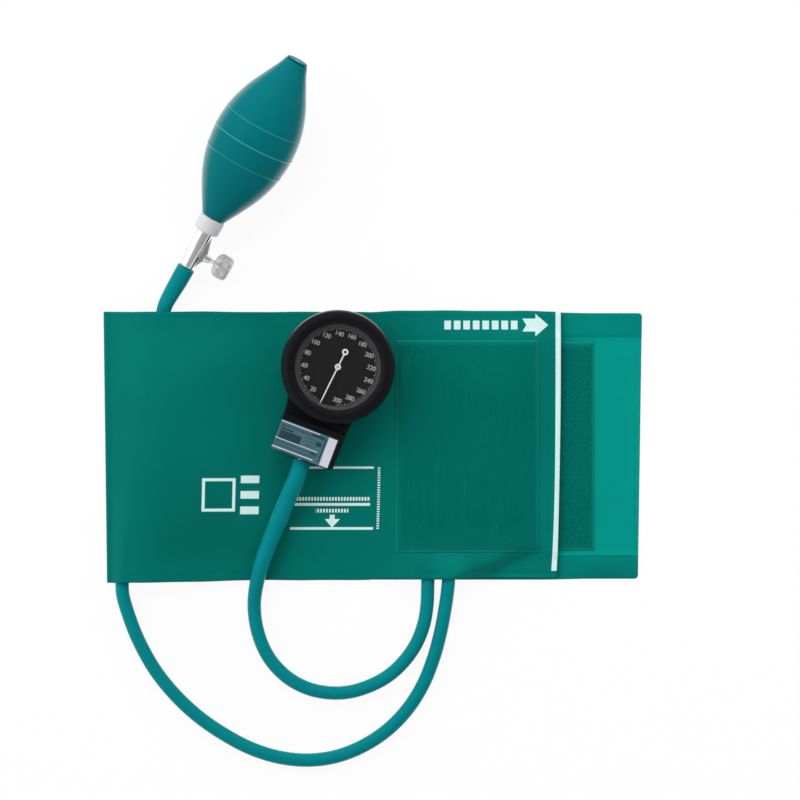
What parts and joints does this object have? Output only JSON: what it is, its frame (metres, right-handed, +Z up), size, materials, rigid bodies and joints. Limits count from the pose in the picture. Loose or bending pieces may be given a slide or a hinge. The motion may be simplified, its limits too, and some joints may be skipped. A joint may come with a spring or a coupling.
{
  "type": "aneroid sphygmomanometer",
  "caption": "Aneroid blood pressure gauge with a folded teal cuff, rubber bulb with release valve, and two hoses, laid flat.",
  "frame": {"origin": "middle of the folded cuff's underside, on the surface that it lies on", "axes": "+Z up from the surface, +X along the cuff from its fold to the tail's free end, +Y across the cuff towards the bulb"},
  "size_m": [0.289, 0.3824, 0.0479],
  "materials": {
    "cuff_cloth": "coated nylon weave, deep teal green",
    "tail_cloth": "single layer of the same nylon, lighter where light comes through",
    "loop_tape": "soft brushed loop pile",
    "hook_tape": "stiff nylon hooks in rows",
    "bladder_rubber": "matt latex",
    "hose_rubber": "smooth satin teal rubber",
    "bulb_rubber": "smooth moulded teal rubber with a soft shine",
    "case_plastic": "satin black moulded plastic",
    "dial_paint": "black printed dial with pale numbers",
    "white_paint": "white enamel",
    "crystal": "clear",
    "grey_plastic": "pale grey moulded plastic",
    "chrome": "bright plated brass",
    "knob_metal": "satin plated, lobed edge",
    "steel": "plain",
    "brass": "plain",
    "dark_rubber": "matt"
  },
  "bodies": {
    "root": {"cuff_fold": "cuff_cloth", "cuff_lining": "cuff_cloth", "cuff_outer_cloth": "cuff_cloth", "bladder": "bladder_rubber", "loop_patch": "loop_tape", "gauge_case": "case_plastic", "gauge_front_ring": "case_plastic", "crystal_gasket": "dark_rubber", "crystal": "crystal", "dial": "dial_paint", "hairspring": "steel", "movement_base_plate": "brass", "movement_top_plate": "brass", "movement_pillar_1": "brass", "movement_pillar_2": "brass", "movement_pillar_3": "brass", "pressure_capsule": "brass", "hose_nipple": "chrome", "back_clip": "steel", "clip_rivet_1": "steel", "clip_rivet_2": "steel", "bulb_shell": "bulb_rubber", "bulb_collar": "grey_plastic", "valve_body": "chrome", "check_ball_retainer": "brass", "intake_valve_body": "grey_plastic", "intake_screen": "steel", "gauge_hose": "hose_rubber", "bulb_hose": "hose_rubber"},
    "tail": {"cuff_tail": "tail_cloth", "hook_patch": "hook_tape"},
    "capsule_pad": {"capsule_pad": "steel"},
    "rocker": {"rocker_shaft": "steel"},
    "sector": {"sector_gear": "brass"},
    "pinion": {"pinion_staff": "steel", "pointer": "white_paint"},
    "release_stem": {"release_tip": "dark_rubber"},
    "release_knob": {"release_screw": "chrome", "release_knob": "knob_metal"},
    "outlet_ball": {"valve_check_ball": "steel"},
    "intake_disc": {"intake_check_disc": "dark_rubber"}
  },
  "joints": [
    {"name": "tail_fold", "type": "hinge", "parent": "root", "child": "tail", "pos_m": [-0.1426, 0, 0.0019], "axis": [0, 1, 0], "range_deg": [0, 180], "deforming": ["cuff_fold"]},
    {"name": "sector_swing", "type": "hinge", "parent": "root", "child": "sector", "pos_m": [-0.03257, 0.04006, 0.0205], "axis": [0, 0, 1], "range_deg": [0, 40], "stiffness_Nm_per_rad": 0.002},
    {"name": "pinion_turn", "type": "hinge", "parent": "root", "child": "pinion", "pos_m": [-0.0187, 0.0426, 0.0205], "axis": [0, 0, 1], "range_deg": [-336.5, 0], "deforming": ["hairspring"]},
    {"name": "rocker_turn", "type": "hinge", "parent": "root", "child": "rocker", "pos_m": [-0.02083, 0.03699, 0.0164], "axis": [0.9348, -0.3551, 0], "range_deg": [0, 15.5]},
    {"name": "pad_lift", "type": "slide", "parent": "root", "child": "capsule_pad", "axis": [0, 0, 1], "range_m": [0, 0.0016], "deforming": ["pressure_capsule"]},
    {"name": "release_travel", "type": "slide", "parent": "root", "child": "release_stem", "axis": [0.8746, -0.4848, 0], "range_m": [0, 0.0012]},
    {"name": "release_turn", "type": "hinge", "parent": "release_stem", "child": "release_knob", "pos_m": [-0.09624, 0.10502, 0.00971], "axis": [0.8746, -0.4848, 0], "range_deg": [0, 540]},
    {"name": "outlet_ball_lift", "type": "slide", "parent": "root", "child": "outlet_ball", "axis": [-0.4742, -0.8555, -0.2079], "range_m": [0, 0.0008]},
    {"name": "intake_disc_lift", "type": "slide", "parent": "root", "child": "intake_disc", "axis": [-0.4742, -0.8555, -0.2079], "range_m": [0, 0.001]}
  ],
  "couplings": [
    {"joint": "pinion_turn", "follows": "sector_swing", "ratio": -8.4},
    {"joint": "rocker_turn", "follows": "sector_swing", "ratio": 0.3875},
    {"joint": "pad_lift", "follows": "sector_swing", "m_per_rad": 0.00229},
    {"joint": "release_travel", "follows": "release_turn", "m_per_rad": 0.000127}
  ]
}
